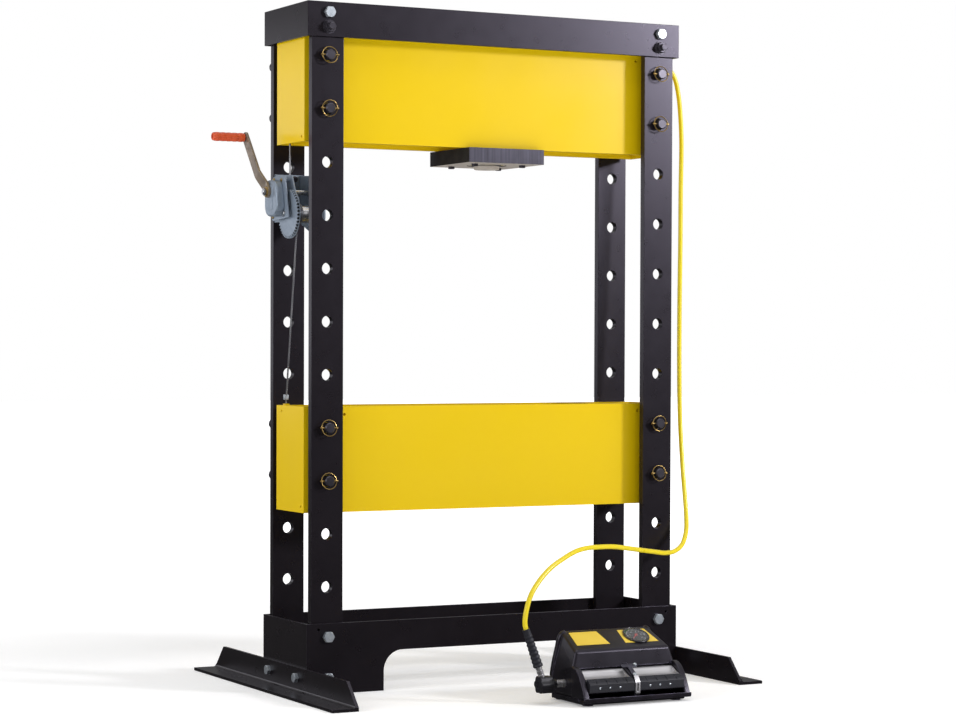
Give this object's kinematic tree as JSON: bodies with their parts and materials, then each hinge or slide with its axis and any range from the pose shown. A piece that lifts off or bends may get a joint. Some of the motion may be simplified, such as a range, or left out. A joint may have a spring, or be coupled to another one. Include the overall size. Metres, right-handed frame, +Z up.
{
  "type": "H-frame workshop press with foot-operated air hydraulic pump",
  "caption": "Black four-post H-frame shop press with yellow bolsters, pinned height, hand winch, ram and a foot-operated air hydraulic pump on a yellow hose.",
  "frame": {"origin": "middle of the whole object's footprint, on the floor", "axes": "+Z up; front of the press towards -Y; winch at -X, hose at +X"},
  "size_m": [1.359, 1.149, 1.83],
  "materials": {
    "black_paint": "satin powder coat",
    "yellow_paint": "gloss paint",
    "dark_steel": "dark machined steel",
    "bright_steel": "ground steel",
    "brass_wire": "yellow zinc wire",
    "wire_rope": "stranded galvanised wire",
    "black_rubber": "ribbed rubber",
    "yellow_hose": "smooth hose jacket",
    "silver_plate": "brushed plate",
    "zinc_plate": "blue zinc plate",
    "yellow_zinc": "yellow zinc plate",
    "orange_grip": "ribbed soft plastic",
    "black_plastic": "moulded plastic",
    "red_plastic": "painted pointer",
    "clear_lens": "clear gauge glass"
  },
  "bodies": {
    "press": {"column_front_left": "black_paint", "column_front_right": "black_paint", "column_rear_left": "black_paint", "column_rear_right": "black_paint", "top_frame": "black_paint", "base_frame": "black_paint", "foot_left": "black_paint", "foot_right": "black_paint", "upper_bolster": "yellow_paint", "cylinder_mount_plate": "dark_steel", "cylinder_body": "yellow_paint", "gland_ring": "bright_steel", "hose_coupler": "bright_steel", "hose_grommet": "black_rubber", "hose": "yellow_hose", "hose_guard": "black_rubber", "hose_ferrule": "silver_plate", "swivel_fitting": "dark_steel", "port_nipple": "silver_plate", "winch_frame": "zinc_plate", "gear_cover": "zinc_plate", "cable_cross": "wire_rope", "cable_left": "wire_rope", "cable_right": "wire_rope", "pump_base": "black_plastic", "pump_housing": "black_plastic", "gauge_bezel": "black_plastic", "gauge_lens": "clear_lens"},
    "bed": {"lower_bolster": "yellow_paint"},
    "ram": {"ram": "bright_steel", "ram_saddle": "dark_steel"},
    "drum": {"winch_drum": "bright_steel", "drive_gear": "zinc_plate"},
    "crank": {"pinion_shaft": "bright_steel", "crank_arm": "yellow_zinc"},
    "grip": {"crank_grip": "orange_grip"},
    "sheave_left": {"sheave_left": "dark_steel"},
    "sheave_right": {"sheave_right": "dark_steel"},
    "pedal_left": {"pedal_left": "silver_plate", "pedal_tread_left": "black_rubber"},
    "pedal_right": {"pedal_right": "silver_plate", "pedal_tread_right": "black_rubber"},
    "lock_lever": {"lock_lever": "silver_plate"},
    "needle": {"gauge_needle": "red_plastic"},
    "pin_upper_high_left": {"pin_upper_high_left": "dark_steel", "ring_clip_upper_high_left": "brass_wire"},
    "pin_upper_high_right": {"pin_upper_high_right": "dark_steel", "ring_clip_upper_high_right": "brass_wire"},
    "pin_upper_low_left": {"pin_upper_low_left": "dark_steel", "ring_clip_upper_low_left": "brass_wire"},
    "pin_upper_low_right": {"pin_upper_low_right": "dark_steel", "ring_clip_upper_low_right": "brass_wire"},
    "pin_lower_high_left": {"pin_lower_high_left": "dark_steel", "ring_clip_lower_high_left": "brass_wire"},
    "pin_lower_high_right": {"pin_lower_high_right": "dark_steel", "ring_clip_lower_high_right": "brass_wire"},
    "pin_lower_low_left": {"pin_lower_low_left": "dark_steel", "ring_clip_lower_low_left": "brass_wire"},
    "pin_lower_low_right": {"pin_lower_low_right": "dark_steel", "ring_clip_lower_low_right": "brass_wire"}
  },
  "joints": [
    {"name": "bed_lift", "type": "slide", "parent": "press", "child": "bed", "axis": [0, 0, 1], "range_m": [0, 0.4218], "deforming": ["cable_left", "cable_right"]},
    {"name": "drum_spin", "type": "hinge", "parent": "press", "child": "drum", "pos_m": [-0.4815, 0.1065, 1.276], "axis": [-1, 0, 0], "range_deg": [0, 940]},
    {"name": "crank_spin", "type": "hinge", "parent": "press", "child": "crank", "pos_m": [-0.5265, 0.1515, 1.336], "axis": [1, 0, 0], "range_deg": [0, 4925]},
    {"name": "grip_spin", "type": "hinge", "parent": "crank", "child": "grip", "pos_m": [-0.6265, 0.27548, 1.4891], "axis": [1, 0, 0], "continuous": true},
    {"name": "sheave_left_spin", "type": "hinge", "parent": "press", "child": "sheave_left", "pos_m": [-0.4835, 0.1295, 1.736], "axis": [0, -1, 0], "range_deg": [0, 875]},
    {"name": "sheave_right_spin", "type": "hinge", "parent": "press", "child": "sheave_right", "pos_m": [0.5505, 0.0595, 1.736], "axis": [0, -1, 0], "range_deg": [0, 875]},
    {"name": "ram_extend", "type": "slide", "parent": "press", "child": "ram", "axis": [0, 0, -1], "range_m": [0, 0.158]},
    {"name": "pedal_left_press", "type": "hinge", "parent": "press", "child": "pedal_left", "pos_m": [0.0885, -0.5045, 0.08], "axis": [1, 0, 0], "range_deg": [0, 9], "stiffness_Nm_per_rad": 20, "springref_deg": -4.58},
    {"name": "pedal_right_press", "type": "hinge", "parent": "press", "child": "pedal_right", "pos_m": [0.2395, -0.5045, 0.08], "axis": [1, 0, 0], "range_deg": [0, 9], "stiffness_Nm_per_rad": 20, "springref_deg": -4.58},
    {"name": "lock_swing", "type": "hinge", "parent": "press", "child": "lock_lever", "pos_m": [0.1655, -0.5511, 0.0732], "axis": [0, -0.5664, 0.8241], "range_deg": [-25, 25]},
    {"name": "needle_sweep", "type": "hinge", "parent": "press", "child": "needle", "pos_m": [0.234, -0.44284, 0.16009], "axis": [0, 0.4226, -0.9063], "range_deg": [0, 270]},
    {"name": "pin_upper_high_left_pull", "type": "slide", "parent": "press", "child": "pin_upper_high_left", "axis": [0, -1, 0], "range_m": [0, 0.37]},
    {"name": "pin_upper_high_right_pull", "type": "slide", "parent": "press", "child": "pin_upper_high_right", "axis": [0, -1, 0], "range_m": [0, 0.37]},
    {"name": "pin_upper_low_left_pull", "type": "slide", "parent": "press", "child": "pin_upper_low_left", "axis": [0, -1, 0], "range_m": [0, 0.37]},
    {"name": "pin_upper_low_right_pull", "type": "slide", "parent": "press", "child": "pin_upper_low_right", "axis": [0, -1, 0], "range_m": [0, 0.37]},
    {"name": "pin_lower_high_left_pull", "type": "slide", "parent": "press", "child": "pin_lower_high_left", "axis": [0, -1, 0], "range_m": [0, 0.37]},
    {"name": "pin_lower_high_right_pull", "type": "slide", "parent": "press", "child": "pin_lower_high_right", "axis": [0, -1, 0], "range_m": [0, 0.37]},
    {"name": "pin_lower_low_left_pull", "type": "slide", "parent": "press", "child": "pin_lower_low_left", "axis": [0, -1, 0], "range_m": [0, 0.37]},
    {"name": "pin_lower_low_right_pull", "type": "slide", "parent": "press", "child": "pin_lower_low_right", "axis": [0, -1, 0], "range_m": [0, 0.37]}
  ],
  "couplings": [
    {"joint": "drum_spin", "follows": "bed_lift", "rad_per_m": 38.76},
    {"joint": "crank_spin", "follows": "bed_lift", "rad_per_m": 203.49},
    {"joint": "sheave_left_spin", "follows": "bed_lift", "rad_per_m": 35.971},
    {"joint": "sheave_right_spin", "follows": "bed_lift", "rad_per_m": 35.971}
  ]
}
